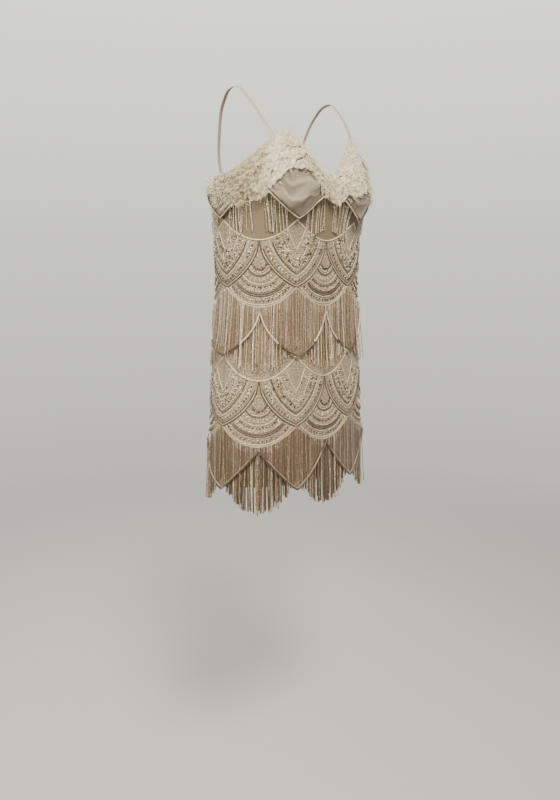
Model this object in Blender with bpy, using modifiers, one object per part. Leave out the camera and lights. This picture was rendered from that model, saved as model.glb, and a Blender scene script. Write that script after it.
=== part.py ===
"""Fringed camisole dress: a slip lining, an embroidered net over it with a scalloped hem, a lace
edging at the neckline, petals at the bust, three rows of beaded fringe and two thin straps.

Metres, +Z up, the front faces -Y and the wearer's left is +X. The origin lies on the dress's
middle line, at the height of the tops of the two straps, where the wearer's shoulders carry it.
"""

import math
from collections import namedtuple

import bmesh
import bpy
import numpy as np
from mathutils import Vector

# Scallops stand in twelve columns round the dress: round ones at the even columns, with column 0
# at the centre front, and pointed ones at the odd columns. A place round the dress is counted in
# columns, u, so the side seams are at u = 3 and u = -3 and the centre back is at u = 6.
COLUMN_COUNT = 12
COLUMN_FACETS = 6
SIDE_SEAM = 3.0
COLUMN_WIDTH = 0.067
SEAM_GAP = 0.0003
EDGING_GAP = 0.0012

Section = namedtuple("Section", "height half_width front back")
SECTIONS = (
    Section(-0.080, 0.140, 0.080, 0.092),
    Section(-0.120, 0.148, 0.090, 0.095),
    Section(-0.155, 0.151, 0.094, 0.096),
    Section(-0.190, 0.150, 0.096, 0.094),
    Section(-0.230, 0.148, 0.094, 0.092),
    Section(-0.280, 0.146, 0.092, 0.092),
    Section(-0.330, 0.144, 0.091, 0.095),
    Section(-0.390, 0.147, 0.091, 0.099),
    Section(-0.460, 0.153, 0.092, 0.102),
    Section(-0.530, 0.157, 0.094, 0.104),
    Section(-0.610, 0.160, 0.096, 0.107),
    Section(-0.700, 0.161, 0.097, 0.109),
)
REFERENCE_SECTION = SECTIONS[4]
SECTION_POWER = 2.36

CUP_X = 0.070
CUP_HEIGHT = -0.172
CUP_RISE = 0.017
CUP_HALF_WIDTH = 0.046
CUP_HALF_HEIGHT = 0.050

# The neckline's height by place round the dress, from the centre front to the centre back.
Edge = namedtuple("Edge", "u height")
NECKLINE = (
    Edge(0.00, -0.151),
    Edge(0.18, -0.147),
    Edge(0.45, -0.131),
    Edge(0.80, -0.108),
    Edge(1.15, -0.091),
    Edge(1.42, -0.087),
    Edge(1.75, -0.101),
    Edge(2.15, -0.124),
    Edge(2.60, -0.146),
    Edge(3.00, -0.152),
    Edge(4.00, -0.156),
    Edge(6.00, -0.160),
)

# Scalloped edges of round scallops, whose cusps lie on the tips of the pointed ones: the heights
# of a cusp and of a round scallop's lowest point.
Scallops = namedtuple("Scallops", "cusp lowest")
BUST_SWAG = Scallops(-0.221, -0.255)
UPPER_BAND = Scallops(-0.334, -0.367)
UPPER_SWAG = Scallops(-0.452, -0.493)
LOWER_BAND = Scallops(-0.578, -0.610)
SCALLOP_CURVE = 1.9
HEM_TIP = -0.693
HEM_NOTCH = -0.616
HEM_CURVE = 1.25
LINING_HEM = -0.684

# Distances outwards from the wearer's side of the lining.
LINING_THICKNESS = 0.0010
NET_LIFT = 0.0017
NET_THICKNESS = 0.0010
EMBROIDERY_THICKNESS = 0.0018
EDGING_LIFT = 0.0033
EDGING_THICKNESS = 0.0010
BUST_FRINGE_LIFT = 0.0046
BAND_FRINGE_LIFT = 0.0039
PETAL_TOP_LIFT = 0.0046
PETAL_LIFT = 0.0072
PETAL_TIP_LIFT = 0.0110
PETAL_THICKNESS = 0.0010

EMBROIDERY_STEP = 0.0030
EDGING_RISE = 0.0045
EDGING_DROP = 0.0260
EDGING_WAVE = 0.0030

PETAL_TOP = -0.118
PETAL_BELOW_NECKLINE = 0.010
PETAL_SHOULDER = -0.166
PETAL_TIP = -0.217
PETAL_HALF_COLUMNS = 0.86

STRAND_WIDTH = 0.0022
STRIP_HEIGHT = 0.0030
STRIP_DEPTH = 0.0020
STRAND_TIP_SCALE = 0.75
UPPER_STRAND_LENGTH = 0.112
LOWER_STRAND_LENGTH = 0.124
UPPER_POINTED_SHARE = 0.90
LOWER_POINTED_SHARE = 0.79
BAND_STRANDS_PER_COLUMN = 8
BAND_STRAND_DRIFT = 0.0030
BUST_STRAND_LENGTH = 0.056
BUST_STRAND_DRIFT = 0.0012
BUST_FRINGE_ARCH = -0.176
BUST_FRINGE_FOOT = -0.196
BUST_STRAND_PLACES = (0.22, 0.31, 0.40, 0.49)

STRAP_WIDTH = 0.0070
STRAP_THICKNESS = 0.0014
STRAP_STEPS = 4
STRAP_FRONT_PLACE = 1.66
STRAP_BACK_PLACE = 4.72
STRAP_SEWN_LENGTH = 0.013
STRAP_LIFT = -0.0018
StrapPoint = namedtuple("StrapPoint", "x y z")
STRAP_OVER_SHOULDER = (
    StrapPoint(0.1060, -0.0440, -0.0540),
    StrapPoint(0.1110, -0.0140, -0.0180),
    StrapPoint(0.1125, 0.0080, -0.0010),
    StrapPoint(0.1125, 0.0280, -0.0030),
    StrapPoint(0.1100, 0.0500, -0.0220),
    StrapPoint(0.1020, 0.0730, -0.0700),
    StrapPoint(0.0950, 0.0830, -0.1180),
)
STRAP_TURN_LENGTH = 0.060
SHOULDER_SLOPE = 0.36


def smooth_value(place, places, values):
    """Value at a place on the smooth curve through the points of a short table, in rising order."""
    places = np.asarray(places)
    values = np.asarray(values)
    place = min(max(place, places[0]), places[-1])
    span = min(int(np.searchsorted(places, place, side="right")) - 1, len(places) - 2)
    slopes = np.gradient(values, places)
    width = places[span + 1] - places[span]
    t = (place - places[span]) / width
    start = (1 + 2 * t) * (1 - t) ** 2 * values[span] + t * (1 - t) ** 2 * width * slopes[span]
    end = t * t * (3 - 2 * t) * values[span + 1] - t * t * (1 - t) * width * slopes[span + 1]
    return float(start + end)


def section_at(height):
    """Half width, front depth and back depth of the body of the dress at a height."""
    rising = SECTIONS[::-1]
    heights = [section.height for section in rising]
    return [
        smooth_value(height, heights, [getattr(section, size) for section in rising])
        for size in ("half_width", "front", "back")
    ]


def plain_radius(angle, half_width, depth):
    """Radius of a rounded-box section, with the angle taken from the centre front or back."""
    across = abs(math.sin(angle)) / half_width
    along = abs(math.cos(angle)) / depth
    return (across**SECTION_POWER + along**SECTION_POWER) ** (-1 / SECTION_POWER)


def column_angles():
    """Angles from the centre front at which equal lengths of cloth end, round half the dress."""
    angles = np.linspace(0, math.pi, 361)
    half_width, front, back = REFERENCE_SECTION[1:]
    radii = [plain_radius(a, half_width, front if a < math.pi / 2 else back) for a in angles]
    x = radii * np.sin(angles)
    y = radii * np.cos(angles)
    lengths = np.concatenate([[0], np.cumsum(np.hypot(np.diff(x), np.diff(y)))])
    return angles, lengths / lengths[-1] * (COLUMN_COUNT / 2)


ANGLES, PLACES = column_angles()


def angle_at(u):
    """Angle from the centre front, towards the wearer's left, at a place round the dress."""
    turns = math.floor((u + COLUMN_COUNT / 2) / COLUMN_COUNT)
    u = u - turns * COLUMN_COUNT
    return math.copysign(float(np.interp(abs(u), PLACES, ANGLES)), u) + turns * math.tau


def body_point(u, height):
    """Point on the wearer's side of the lining."""
    angle = angle_at(u)
    half_width, front, back = section_at(height)
    forwards = math.cos(angle) > 0
    radius = plain_radius(angle, half_width, front if forwards else back)
    if forwards:
        across = (abs(radius * math.sin(angle)) - CUP_X) / CUP_HALF_WIDTH
        along = (height - CUP_HEIGHT) / CUP_HALF_HEIGHT
        radius += CUP_RISE * math.exp(-across * across - along * along)
    return Vector((radius * math.sin(angle), -radius * math.cos(angle), height))


def lifted_point(u, height, lift):
    """Point at a distance outwards from the wearer's side of the lining."""
    step_u = 0.04
    step_height = 0.002
    across = body_point(u + step_u, height) - body_point(u - step_u, height)
    along = body_point(u, height + step_height) - body_point(u, height - step_height)
    return body_point(u, height) + across.cross(along).normalized() * lift


def edge_direction(u, height):
    """Direction along the cloth, towards the centre back, at a place and a height."""
    return (body_point(u + 0.1, height) - body_point(u - 0.1, height)).normalized()


def neckline(u):
    """Height of the neckline at a place round the dress."""
    u = abs((u + COLUMN_COUNT / 2) % COLUMN_COUNT - COLUMN_COUNT / 2)
    return smooth_value(u, [edge.u for edge in NECKLINE], [edge.height for edge in NECKLINE])


def scallop_height(scallops, u):
    """Height of an edge of round scallops, lowest at the even columns, with cusps at the odd ones."""
    share = abs((u + 1) % 2 - 1)
    return scallops.lowest + (scallops.cusp - scallops.lowest) * share**SCALLOP_CURVE


def hem_height(u):
    """Height of the net's hem: one deep swag over each pointed column."""
    share = abs((u % 2) - 1)
    return HEM_TIP + (HEM_NOTCH - HEM_TIP) * share**HEM_CURVE


def bust_fringe_height(u):
    """Height of the bust fringe's top: an arch over each round column."""
    share = min(1.0, abs((u + 1) % 2 - 1))
    return BUST_FRINGE_ARCH + (BUST_FRINGE_FOOT - BUST_FRINGE_ARCH) * share**1.5


def net_rows(u):
    """Heights and thicknesses down the net at a place: neckline, plain net and raised bands."""
    plain = NET_THICKNESS
    raised = EMBROIDERY_THICKNESS
    top = neckline(u)
    bust_swag = scallop_height(BUST_SWAG, u)
    upper_band = scallop_height(UPPER_BAND, u)
    upper_swag = scallop_height(UPPER_SWAG, u)
    lower_band = scallop_height(LOWER_BAND, u)
    hem = hem_height(u)
    rows = [(top + (bust_swag - top) * share, plain) for share in (0, 0.22, 0.42, 0.62, 0.82, 1)]
    rows.append((bust_swag - EMBROIDERY_STEP, raised))
    rows.append(((bust_swag + upper_band) / 2, raised))
    rows.append((upper_band, raised))
    rows.append((upper_band - EMBROIDERY_STEP, plain))
    rows.append(((upper_band + upper_swag) / 2, plain))
    rows.append((upper_swag, plain))
    rows.append((upper_swag - EMBROIDERY_STEP, raised))
    rows.append(((upper_swag + lower_band) / 2, raised))
    rows.append((lower_band, raised))
    rows.append((lower_band - EMBROIDERY_STEP, plain))
    rows.append((hem, plain))
    return rows


def lining_rows(u):
    """Heights down the lining at a place, on the net's own rows as far as the lowest band."""
    net = net_rows(u)
    on_net = [net[row][0] for row in (0, 1, 2, 3, 4, 5, 6, 7, 8, 10, 11, 13, 14)]
    return on_net + [(on_net[-1] + LINING_HEM) / 2, LINING_HEM]


def material(name, colour, roughness, metallic=0.0):
    """A plain finish of one colour."""
    made = bpy.data.materials.new(name)
    made.use_nodes = True
    shader = made.node_tree.nodes["Principled BSDF"]
    shader.inputs["Base Color"].default_value = (*colour, 1.0)
    shader.inputs["Roughness"].default_value = roughness
    shader.inputs["Metallic"].default_value = metallic
    return made


def link(name, mesh, finish, collection):
    """Adds a mesh to the dress as a smooth object of one finish."""
    obj = bpy.data.objects.new(name, mesh)
    collection.objects.link(obj)
    mesh.materials.append(finish)
    mesh.shade_smooth()
    return obj


def panel(name, places, rows_at, lift_at, thickness, finish, collection):
    """A piece of cloth: a grid bent to the dress, made a wall with Solidify.

    rows_at gives (height, thickness) pairs down the piece at a place, and lift_at the distance
    out at a place and a share of the way down.
    """
    rows = [rows_at(u) for u in places]
    row_count = len(rows[0])
    grid = bmesh.new()
    bmesh.ops.create_grid(grid, x_segments=len(places) - 1, y_segments=row_count - 1, size=1)
    layer = grid.verts.layers.deform.verify()
    for vertex in grid.verts:
        column = round((vertex.co.x + 1) / 2 * (len(places) - 1))
        row = round((1 - vertex.co.y) / 2 * (row_count - 1))
        height, here = rows[column][row]
        vertex.co = lifted_point(places[column], height, lift_at(places[column], row / (row_count - 1)))
        vertex[layer][0] = here / thickness
    mesh = bpy.data.meshes.new(name)
    grid.to_mesh(mesh)
    grid.free()
    obj = link(name, mesh, finish, collection)
    obj.vertex_groups.new(name="thickness")
    wall = obj.modifiers.new("wall", "SOLIDIFY")
    wall.thickness = thickness
    wall.offset = 1.0
    wall.vertex_group = "thickness"
    wall.use_even_offset = False
    return obj


def places_between(start, end, facets_per_column, gap):
    """Places round the dress from one seam to the next, short of each by half the seam's gap."""
    inset = gap / 2 / COLUMN_WIDTH
    places = np.linspace(start, end, round((end - start) * facets_per_column) + 1)
    places[0] += inset
    places[-1] -= inset
    return list(places)


def build_lining(finish, collection):
    """The slip that lies inside the net, as a front and a back with a straight hem."""
    for name, start in (("lining_front", -SIDE_SEAM), ("lining_back", SIDE_SEAM)):
        places = places_between(start, start + 2 * SIDE_SEAM, COLUMN_FACETS, SEAM_GAP)
        panel(
            name,
            places,
            lambda u: [(height, LINING_THICKNESS) for height in lining_rows(u)],
            lambda u, share: 0.0,
            LINING_THICKNESS,
            finish,
            collection,
        )


def build_net(finish, collection):
    """The embroidered net over the lining, with its bands raised and its hem scalloped."""
    for name, start in (("net_front", -SIDE_SEAM), ("net_back", SIDE_SEAM)):
        places = places_between(start, start + 2 * SIDE_SEAM, COLUMN_FACETS, SEAM_GAP)
        panel(
            name,
            places,
            net_rows,
            lambda u, share: NET_LIFT,
            EMBROIDERY_THICKNESS,
            finish,
            collection,
        )


def edging_rows(u):
    """Heights of the lace edging at a place, with a small wave along both edges."""
    wave = EDGING_WAVE * math.cos(math.tau * COLUMN_FACETS * u)
    top = neckline(u)
    heights = (top + EDGING_RISE + wave, top - EDGING_DROP / 2, top - EDGING_DROP + wave)
    return [(height, EDGING_THICKNESS) for height in heights]


def build_edging(finish, collection):
    """Lace edging along the neckline: one piece over each cup and one across the back."""
    pieces = (
        ("edging_right", -SIDE_SEAM, 0.0),
        ("edging_left", 0.0, SIDE_SEAM),
        ("edging_back", SIDE_SEAM, 3 * SIDE_SEAM),
    )
    for name, start, end in pieces:
        panel(
            name,
            places_between(start, end, 2 * COLUMN_FACETS, EDGING_GAP),
            edging_rows,
            lambda u, share: EDGING_LIFT,
            EDGING_THICKNESS,
            finish,
            collection,
        )


def petal_lift(u, share):
    """Distance out of a petal: close on the lace edging at the top and clear of the fringe below."""
    if share == 0:
        return PETAL_TOP_LIFT
    return PETAL_LIFT + (PETAL_TIP_LIFT - PETAL_LIFT) * share


def build_petals(finish, collection):
    """A loose net petal over each pointed column at the bust."""
    names = ("front_left", "side_left", "back_left", "back_right", "side_right", "front_right")
    for index, name in enumerate(names):
        centre = 2 * index + 1

        def rows(u, centre=centre):
            share = abs(u - centre) / PETAL_HALF_COLUMNS
            top = min(PETAL_TOP, neckline(u) - PETAL_BELOW_NECKLINE)
            tip = PETAL_TIP + (PETAL_SHOULDER - PETAL_TIP) * share**1.15
            shoulder = min(tip, top - 0.006)
            heights = np.linspace(top, shoulder, 4)
            return [(height, PETAL_THICKNESS) for height in heights]

        panel(
            "petal_" + name,
            list(np.linspace(centre - PETAL_HALF_COLUMNS, centre + PETAL_HALF_COLUMNS, 11)),
            rows,
            petal_lift,
            PETAL_THICKNESS,
            finish,
            collection,
        )


def strand_length(u, longest, pointed_share):
    """Strands are longest in the round columns and shorter, by a share, in the pointed ones."""
    share = abs((u + 1) % 2 - 1)
    return longest * (1 - (1 - pointed_share) * share**2)


def fringe(name, places, edge_at, lift, length_at, drift, finish, collection):
    """A ring of beaded strands: a three-sided strip along an edge, with strands drawn down from it."""
    half_width = STRAND_WIDTH / 2 / COLUMN_WIDTH
    stations = []
    for index, place in enumerate(places):
        following = places[(index + 1) % len(places)] + (COLUMN_COUNT if index == len(places) - 1 else 0)
        stations += [(place - half_width, True), (place + half_width, False)]
        gap = following - place - 2 * half_width
        extra = max(0, math.ceil(gap / 0.17) - 1)
        stations += [(place + half_width + gap * k / (extra + 1), False) for k in range(1, extra + 1)]
    made = bmesh.new()
    rings = []
    for u, _ in stations:
        height = edge_at(u)
        corners = (
            lifted_point(u, height + STRIP_HEIGHT, lift),
            lifted_point(u, height, lift),
            lifted_point(u, height, lift + STRIP_DEPTH),
        )
        rings.append([made.verts.new(corner) for corner in corners])
    roots = []
    for index, (u, is_root) in enumerate(stations):
        here = rings[index]
        there = rings[(index + 1) % len(rings)]
        for side in range(3):
            around = (side + 1) % 3
            face = made.faces.new((here[side], there[side], there[around], here[around]))
            if is_root and side == 1:
                roots.append((face, u + half_width))
    for face, u in roots:
        centre_top = face.calc_center_median()
        tip = bmesh.ops.extrude_discrete_faces(made, faces=[face])["faces"][0]
        height = centre_top.z - length_at(u)
        middle = lifted_point(u, height, lift + STRIP_DEPTH / 2 + drift)
        for vertex in tip.verts:
            vertex.co = middle + (vertex.co - centre_top) * STRAND_TIP_SCALE
            vertex.co.z = height
    bmesh.ops.recalc_face_normals(made, faces=made.faces)
    mesh = bpy.data.meshes.new(name)
    made.to_mesh(mesh)
    made.free()
    return link(name, mesh, finish, collection)


def build_fringes(finish, collection):
    """Beaded fringe at the bust and under each embroidered band."""
    bust_places = []
    for column in range(0, COLUMN_COUNT, 2):
        bust_places += [column - place for place in reversed(BUST_STRAND_PLACES)]
        bust_places += [column + place for place in BUST_STRAND_PLACES]
    fringe(
        "fringe_bust",
        bust_places,
        bust_fringe_height,
        BUST_FRINGE_LIFT,
        lambda u: BUST_STRAND_LENGTH,
        BUST_STRAND_DRIFT,
        finish,
        collection,
    )
    count = COLUMN_COUNT * BAND_STRANDS_PER_COLUMN
    band_places = [(k + 0.5) / BAND_STRANDS_PER_COLUMN - 0.5 for k in range(count)]
    bands = (
        ("fringe_upper", UPPER_BAND, UPPER_STRAND_LENGTH, UPPER_POINTED_SHARE),
        ("fringe_lower", LOWER_BAND, LOWER_STRAND_LENGTH, LOWER_POINTED_SHARE),
    )
    for name, scallops, longest, pointed_share in bands:
        fringe(
            name,
            band_places,
            lambda u, scallops=scallops: scallop_height(scallops, u),
            BAND_FRINGE_LIFT,
            lambda u, longest=longest, pointed_share=pointed_share: strand_length(u, longest, pointed_share),
            BAND_STRAND_DRIFT,
            finish,
            collection,
        )


def build_straps(finish, collection):
    """Two flat straps, sewn inside the cups in front and inside the back."""
    front_top = neckline(STRAP_FRONT_PLACE)
    back_top = neckline(STRAP_BACK_PLACE)
    path = [
        lifted_point(STRAP_FRONT_PLACE, front_top - STRAP_SEWN_LENGTH, STRAP_LIFT),
        lifted_point(STRAP_FRONT_PLACE, front_top, STRAP_LIFT),
        *(Vector(point) for point in STRAP_OVER_SHOULDER),
        lifted_point(STRAP_BACK_PLACE, back_top, STRAP_LIFT),
        lifted_point(STRAP_BACK_PLACE, back_top - STRAP_SEWN_LENGTH, STRAP_LIFT),
    ]
    front_edge = edge_direction(STRAP_FRONT_PLACE, front_top)
    back_edge = -edge_direction(STRAP_BACK_PLACE, back_top)
    lengths = [0.0]
    for start, end in zip(path, path[1:]):
        lengths.append(lengths[-1] + (end - start).length)
    steps = STRAP_STEPS * (len(path) - 1)
    centres = [
        Vector([smooth_value(lengths[-1] * k / steps, lengths, [p[axis] for p in path]) for axis in range(3)])
        for k in range(steps + 1)
    ]
    for name, side in (("strap_left", 1), ("strap_right", -1)):
        ribbon = bmesh.new()
        rungs = []
        for index, centre in enumerate(centres):
            ahead = centres[min(index + 1, steps)] - centres[max(index - 1, 0)]
            flatness = 1 - abs(ahead.normalized().z)
            across = Vector((1, 0, -SHOULDER_SLOPE * flatness))
            in_front = index < steps / 2
            travelled = lengths[-1] * index / steps
            from_end = (travelled if in_front else lengths[-1] - travelled) - STRAP_SEWN_LENGTH
            turned = min(1.0, max(0.0, from_end / STRAP_TURN_LENGTH))
            across = (front_edge if in_front else back_edge).lerp(across, turned)
            across = (across - across.project(ahead)).normalized() * STRAP_WIDTH / 2
            rung = []
            for end in (centre - across, centre + across):
                rung.append(ribbon.verts.new((side * end.x, end.y, end.z)))
            rungs.append(rung)
        for here, there in zip(rungs, rungs[1:]):
            corners = (here[0], here[1], there[1], there[0])
            ribbon.faces.new(corners if side > 0 else corners[::-1])
        mesh = bpy.data.meshes.new(name)
        ribbon.to_mesh(mesh)
        ribbon.free()
        obj = link(name, mesh, finish, collection)
        wall = obj.modifiers.new("wall", "SOLIDIFY")
        wall.thickness = STRAP_THICKNESS
        wall.offset = 0.0


def build_dress():
    """All pieces of the dress, in one collection."""
    for obj in list(bpy.data.objects):
        bpy.data.objects.remove(obj)
    collection = bpy.data.collections.new("fringed_camisole_dress")
    bpy.context.scene.collection.children.link(collection)
    satin = material("blush satin", (0.80, 0.66, 0.55), 0.45)
    net = material("champagne embroidered net", (0.72, 0.60, 0.49), 0.65)
    lace = material("ivory lace", (0.88, 0.83, 0.74), 0.75)
    beads = material("rose gold beads", (0.62, 0.44, 0.32), 0.30, 0.6)
    build_lining(satin, collection)
    build_net(net, collection)
    build_edging(lace, collection)
    build_petals(net, collection)
    build_fringes(beads, collection)
    build_straps(satin, collection)


build_dress()
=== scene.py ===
"""Looks of the fringed camisole dress: satin slip, embroidered net, lace and beads."""

import math
from collections import namedtuple

import bpy
import numpy as np
from mathutils import Matrix, Vector


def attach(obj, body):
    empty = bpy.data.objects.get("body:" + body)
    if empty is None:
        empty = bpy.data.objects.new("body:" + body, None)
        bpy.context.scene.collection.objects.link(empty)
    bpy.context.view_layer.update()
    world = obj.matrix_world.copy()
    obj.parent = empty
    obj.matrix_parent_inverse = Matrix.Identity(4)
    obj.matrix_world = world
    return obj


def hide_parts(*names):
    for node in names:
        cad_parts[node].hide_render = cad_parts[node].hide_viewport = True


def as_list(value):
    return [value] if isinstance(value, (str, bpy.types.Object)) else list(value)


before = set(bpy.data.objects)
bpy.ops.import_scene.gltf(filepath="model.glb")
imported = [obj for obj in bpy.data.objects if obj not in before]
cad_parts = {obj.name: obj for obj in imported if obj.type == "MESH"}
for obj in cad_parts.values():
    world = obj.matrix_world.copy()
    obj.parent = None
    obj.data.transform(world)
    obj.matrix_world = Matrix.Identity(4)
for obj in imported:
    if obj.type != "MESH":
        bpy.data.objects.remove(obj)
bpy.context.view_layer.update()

# Camera, at the photograph's viewing angle.
TURN = math.radians(42.02)
PITCH = math.radians(11.26)
DISTANCE = 1.324
SIDE_SHIFT = 0.0168
EYE_HEIGHT = -0.289
LENS = 31.5
SENSOR = 36

# The body of the dress, as in the solids. A place round it is counted in columns of scallops, u:
# round scallops stand at the even columns and pointed ones at the odd, and column 0 is in front.
COLUMNS = 12
ROUND_COLUMNS, POINTED_COLUMNS = range(0, COLUMNS, 2), range(1, COLUMNS, 2)
COLUMN_WIDTH = 0.067
SECTION_POWER = 2.36
Section = namedtuple("Section", "height half_width front back")
SECTIONS = (
    Section(-0.080, 0.140, 0.080, 0.092),
    Section(-0.120, 0.148, 0.090, 0.095),
    Section(-0.155, 0.151, 0.094, 0.096),
    Section(-0.190, 0.150, 0.096, 0.094),
    Section(-0.230, 0.148, 0.094, 0.092),
    Section(-0.280, 0.146, 0.092, 0.092),
    Section(-0.330, 0.144, 0.091, 0.095),
    Section(-0.390, 0.147, 0.091, 0.099),
    Section(-0.460, 0.153, 0.092, 0.102),
    Section(-0.530, 0.157, 0.094, 0.104),
    Section(-0.610, 0.160, 0.096, 0.107),
    Section(-0.700, 0.161, 0.097, 0.109),
)
CUP_X, CUP_HEIGHT, CUP_RISE, CUP_HALF_WIDTH, CUP_HALF_HEIGHT = 0.070, -0.172, 0.017, 0.046, 0.050

# Height of the neckline and of the lace's foot, by place round the dress.
NECKLINE = (
    (0.00, -0.151), (0.18, -0.147), (0.45, -0.131), (0.80, -0.108), (1.15, -0.091), (1.42, -0.087),
    (1.75, -0.101), (2.15, -0.124), (2.60, -0.146), (3.00, -0.152), (4.00, -0.156), (6.00, -0.160),
)
LACE_FOOT = (
    (-6.0, -0.178), (-5.0, -0.176), (-3.8, -0.180), (-3.3, -0.192), (-2.5, -0.196), (-2.0, -0.189),
    (-1.6, -0.172), (-1.3, -0.150), (-1.0, -0.141), (-0.7, -0.152), (-0.4, -0.176), (0.0, -0.190),
    (0.5, -0.184), (1.0, -0.170), (1.5, -0.178), (2.0, -0.189), (2.5, -0.196), (3.3, -0.192),
    (3.8, -0.180), (5.0, -0.176), (6.0, -0.178),
)

# Rows of scallops, top to bottom: the heights of the cusps and of the lowest points. A band is
# stitched between the swag above it and its own round scallops, with pointed ones over those.
Row = namedtuple("Row", "cusp lowest")
BUST_SWAG = Row(-0.221, -0.255)
UPPER_FANS = Row(-0.334, -0.367)
UPPER_FLAPS = Row(-0.367, -0.452)
UPPER_SWAG = Row(-0.452, -0.493)
LOWER_FANS = Row(-0.578, -0.610)
HEM_FLAPS = Row(-0.616, -0.693)
Band = namedtuple("Band", "name above points fans")
BANDS = (
    Band("upper", BUST_SWAG, Row(-0.255, -0.334), UPPER_FANS),
    Band("lower", UPPER_SWAG, Row(-0.493, -0.578), LOWER_FANS),
)
ROUND_CURVE = 1.9
POINT_SHARE = 0.30
HEM_CURVE = 1.25
FAN_RADIUS = 0.076
SLIP_HEM = -0.684

SLIP_THICKNESS = 0.0008
NET_THICKNESS = 0.0004
NET_LIFT = 0.0018
STITCH_LIFT = 0.0026

rng = np.random.default_rng(11)


def smooth(place, places, values):
    """Value at a place on the smooth curve through a short table, in rising order."""
    places = np.asarray(places)
    values = np.asarray(values)
    place = np.clip(place, places[0], places[-1])
    span = np.clip(np.searchsorted(places, place, side="right") - 1, 0, len(places) - 2)
    slopes = np.gradient(values, places)
    width = places[span + 1] - places[span]
    t = (place - places[span]) / width
    start = (1 + 2 * t) * (1 - t) ** 2 * values[span] + t * (1 - t) ** 2 * width * slopes[span]
    end = t * t * (3 - 2 * t) * values[span + 1] - t * t * (1 - t) * width * slopes[span + 1]
    return start + end


def unit(vectors):
    return vectors / np.linalg.norm(vectors, axis=-1, keepdims=True)


def lengths_along(points):
    """Length from the start of a line to each of its points."""
    return np.concatenate([[0], np.cumsum(np.linalg.norm(np.diff(points, axis=0), axis=1))])


def box_radius(angle, half_width, depth):
    across = np.abs(np.sin(angle)) / half_width
    along = np.abs(np.cos(angle)) / depth
    return (across**SECTION_POWER + along**SECTION_POWER) ** (-1 / SECTION_POWER)


def column_angles():
    """Angles at which equal lengths of cloth end, round half the dress."""
    angles = np.linspace(0, math.pi, 361)
    section = SECTIONS[4]
    depth = np.where(angles < math.pi / 2, section.front, section.back)
    radii = box_radius(angles, section.half_width, depth)
    lengths = lengths_along(np.stack([radii * np.sin(angles), radii * np.cos(angles)], -1))
    return angles, lengths / lengths[-1] * (COLUMNS / 2)


ANGLES, PLACES = column_angles()
RISING = SECTIONS[::-1]
HEIGHTS = [section.height for section in RISING]


def wrap(u):
    return (np.asarray(u, float) + COLUMNS / 2) % COLUMNS - COLUMNS / 2


def body(u, height):
    """Points on the wearer's side of the slip."""
    u = wrap(u)
    height = np.asarray(height, float)
    angle = np.copysign(np.interp(np.abs(u), PLACES, ANGLES), u)
    half_width, front, back = (
        smooth(height, HEIGHTS, [getattr(section, size) for section in RISING])
        for size in ("half_width", "front", "back")
    )
    forwards = np.cos(angle) > 0
    radius = box_radius(angle, half_width, np.where(forwards, front, back))
    across = (np.abs(radius * np.sin(angle)) - CUP_X) / CUP_HALF_WIDTH
    along = (height - CUP_HEIGHT) / CUP_HALF_HEIGHT
    radius = radius + forwards * CUP_RISE * np.exp(-across * across - along * along)
    return np.stack([radius * np.sin(angle), -radius * np.cos(angle), height], -1)


def directions(u, height):
    """Unit vectors round the dress, up it and out of it."""
    around = body(u + 0.04, height) - body(u - 0.04, height)
    up = body(u, height + 0.002) - body(u, height - 0.002)
    return unit(around), unit(up), unit(np.cross(around, up))


def on_dress(u, height, lift):
    """Points at a distance out of the slip's inner side."""
    u, height, lift = np.broadcast_arrays(
        np.asarray(u, float), np.asarray(height, float), np.asarray(lift, float)
    )
    return body(u, height) + directions(u, height)[2] * lift[..., None]


def neckline(u):
    return smooth(np.abs(wrap(u)), *zip(*NECKLINE))


def lace_foot(u):
    return smooth(wrap(u), *zip(*LACE_FOOT))


def from_even(u):
    """How far a place is from the nearest even column, from 0 to 1."""
    return np.abs((np.asarray(u, float) + 1) % 2 - 1)


def from_odd(u):
    return np.abs(np.asarray(u, float) % 2 - 1)


def round_edge(row, u):
    """Height of a row of round scallops, lowest at the even columns."""
    return row.lowest + (row.cusp - row.lowest) * from_even(u) ** ROUND_CURVE


def pointed_edge(row, u):
    """Height of a row of pointed scallops, lowest at the odd columns."""
    share = from_odd(u)
    rise = POINT_SHARE * share + (1 - POINT_SHARE) * (1 - np.sqrt(1 - np.minimum(share, 1) ** 2))
    return row.lowest + (row.cusp - row.lowest) * rise


def hem_edge(row, u):
    """Height of the pointed scallops that make the hem."""
    return row.lowest + (row.cusp - row.lowest) * from_odd(u) ** HEM_CURVE


def soft_noise(u, height, seed, scale_u=1.0, scale_z=1.0):
    """Slow uneven value from -1 to 1 that closes round the dress."""
    local = np.random.default_rng(seed)
    angle = np.asarray(u, float) / COLUMNS * math.tau
    total = 0
    for turn in range(1, 7):
        size = 1 / turn**0.7
        phase = local.uniform(0, math.tau, 3)
        drift = local.uniform(-1, 1) * 18 * scale_z
        wave = np.sin(round(turn * 2 * scale_u) * angle + phase[0] + drift * height)
        fade = 0.6 + 0.4 * np.sin(local.uniform(6, 26) * scale_z * height + phase[1])
        total = total + size * wave * fade
    return total / 2.4


def drape(u, height):
    """Soft uneven troughs and ridges of the cloth, deepest towards the hem."""
    depth = np.clip((-height - 0.20) / 0.45, 0, 1)
    return 0.0011 * depth * soft_noise(u, height * 0.4, 5, 2.0, 0.5)


# Finishes


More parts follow.
